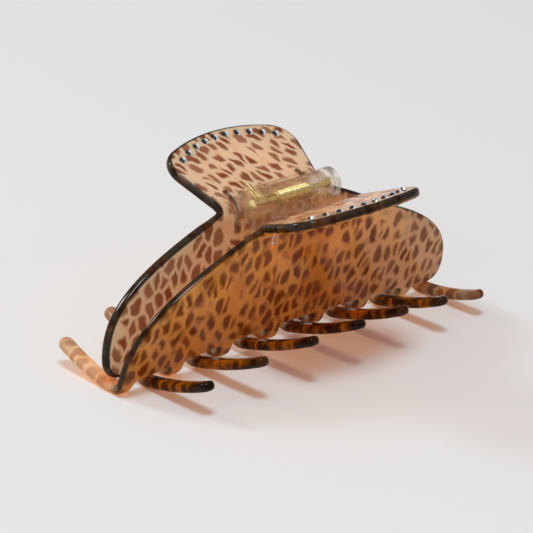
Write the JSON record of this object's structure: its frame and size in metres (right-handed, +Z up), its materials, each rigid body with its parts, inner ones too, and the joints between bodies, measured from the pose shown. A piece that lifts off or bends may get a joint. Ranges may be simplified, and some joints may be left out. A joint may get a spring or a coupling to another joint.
{
  "type": "claw clip",
  "caption": "Hair claw clip: mirrored sheet jaws with interlocking teeth, fan handles edged with small stones, and a sprung clear hinge on a pin.",
  "frame": {"origin": "on the floor under the middle of the clip, at the bottom centre of its box", "axes": "+X along the hinge pin, +Y towards the left jaw, +Z up to the handles"},
  "size_m": [0.1076, 0.0536, 0.0438],
  "materials": {
    "acetate": "tumble-polished spotted acetate sheet",
    "clear_plastic": "clear moulded",
    "gilt_wire": "pale gilt, bright",
    "crystal": "faceted, foiled back"
  },
  "bodies": {
    "left_half": {"left_jaw": "acetate", "left_hinge_leaf": "clear_plastic", "hinge_pin": "gilt_wire", "torsion_spring": "gilt_wire", "left_stone_01": "crystal", "left_stone_02": "crystal", "left_stone_03": "crystal", "left_stone_04": "crystal", "left_stone_05": "crystal", "left_stone_06": "crystal", "left_stone_07": "crystal", "left_stone_08": "crystal", "left_stone_09": "crystal", "left_stone_10": "crystal"},
    "right_half": {"right_jaw": "acetate", "right_hinge_leaf": "clear_plastic", "right_stone_01": "crystal", "right_stone_02": "crystal", "right_stone_03": "crystal", "right_stone_04": "crystal", "right_stone_05": "crystal", "right_stone_06": "crystal", "right_stone_07": "crystal", "right_stone_08": "crystal", "right_stone_09": "crystal", "right_stone_10": "crystal"}
  },
  "joints": [
    {"name": "hinge_open", "type": "hinge", "parent": "left_half", "child": "right_half", "pos_m": [0, 0, 0.0367], "axis": [-1, 0, 0], "range_deg": [0, 60], "stiffness_Nm_per_rad": 0.06, "springref_deg": -20.05, "deforming": ["torsion_spring"]}
  ]
}
